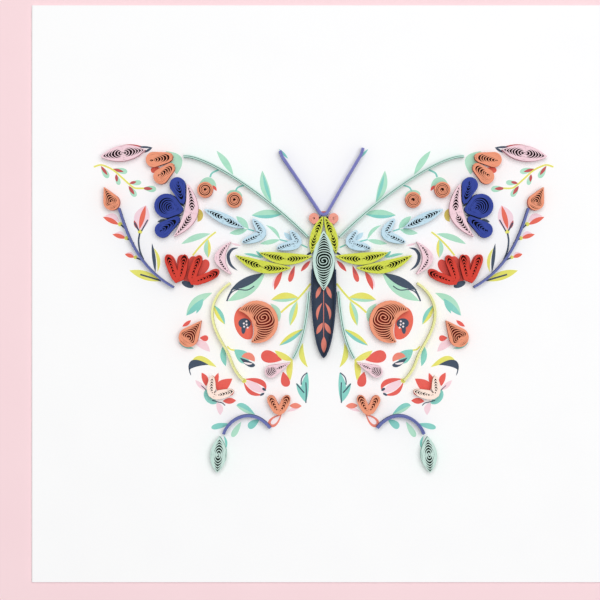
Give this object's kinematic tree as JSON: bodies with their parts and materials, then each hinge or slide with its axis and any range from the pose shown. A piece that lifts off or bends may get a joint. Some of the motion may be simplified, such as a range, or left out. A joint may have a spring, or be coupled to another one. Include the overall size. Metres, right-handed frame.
{
  "type": "quilled paper butterfly",
  "caption": "Butterfly of quilled paper on a folded card: rolled and pinched strip coils make petals, buds and leaves, and strips on edge make stems, antennae and the body's outline",
  "frame": {"origin": "middle of the card's footprint, on the back face that it lies on", "axes": "+X to the right of the card front, +Y towards the butterfly's antennae, +Z out of the card front"},
  "size_m": [0.1524, 0.1524, 0.004],
  "materials": {
    "white_card_stock": "smooth uncoated card",
    "pale_pink_paper": "matt uncoated paper",
    "coral_paper": "matt uncoated paper",
    "royal_blue_paper": "matt uncoated paper",
    "light_blue_paper": "matt uncoated paper",
    "lime_paper": "matt uncoated paper",
    "scarlet_paper": "matt uncoated paper",
    "mint_paper": "matt uncoated paper",
    "stem_green_paper": "matt uncoated paper",
    "violet_paper": "matt uncoated paper",
    "navy_paper": "matt uncoated paper",
    "blush_paper": "matt uncoated paper",
    "rose_paper": "matt uncoated paper"
  },
  "bodies": {
    "root": {"card": "white_card_stock", "thorax": "mint_paper", "abdomen": "navy_paper", "antennae": "violet_paper", "eyes": "rose_paper", "left_pink_bud": "pale_pink_paper", "left_coral_bell": "coral_paper", "left_coral_bud": "coral_paper", "left_round_buds": "coral_paper", "left_blue_petal_upper": "royal_blue_paper", "left_blue_petal_middle": "royal_blue_paper", "left_blue_petal_lower": "royal_blue_paper", "left_pink_sepal": "pale_pink_paper", "left_blue_leaf": "light_blue_paper", "left_chevron_outer": "light_blue_paper", "left_chevron_inner": "light_blue_paper", "left_pink_crescent": "pale_pink_paper", "left_red_petals": "scarlet_paper", "left_lime_leaf_upper": "lime_paper", "left_lime_leaf_lower": "lime_paper", "left_lime_shoulder": "lime_paper", "left_upper_stem": "stem_green_paper", "left_side_stem": "violet_paper", "left_fruit": "coral_paper", "left_peony": "coral_paper", "left_pink_drop": "pale_pink_paper", "left_lily": "blush_paper", "left_heart": "coral_paper", "left_tail_coil": "mint_paper", "left_lime_stem": "lime_paper", "left_lower_stem": "stem_green_paper", "left_tail_stem": "violet_paper", "right_pink_bud": "pale_pink_paper", "right_coral_bell": "coral_paper", "right_coral_bud": "coral_paper", "right_round_buds": "coral_paper", "right_blue_petal_upper": "royal_blue_paper", "right_blue_petal_middle": "royal_blue_paper", "right_blue_petal_lower": "royal_blue_paper", "right_pink_sepal": "pale_pink_paper", "right_blue_leaf": "light_blue_paper", "right_chevron_outer": "light_blue_paper", "right_chevron_inner": "light_blue_paper", "right_pink_crescent": "pale_pink_paper", "right_red_petals": "scarlet_paper", "right_lime_leaf_upper": "lime_paper", "right_lime_leaf_lower": "lime_paper", "right_lime_shoulder": "lime_paper", "right_upper_stem": "stem_green_paper", "right_side_stem": "violet_paper", "right_fruit": "coral_paper", "right_peony": "coral_paper", "right_pink_drop": "pale_pink_paper", "right_lily": "blush_paper", "right_heart": "coral_paper", "right_tail_coil": "mint_paper", "right_lime_stem": "lime_paper", "right_lower_stem": "stem_green_paper", "right_tail_stem": "violet_paper"}
  },
  "joints": []
}
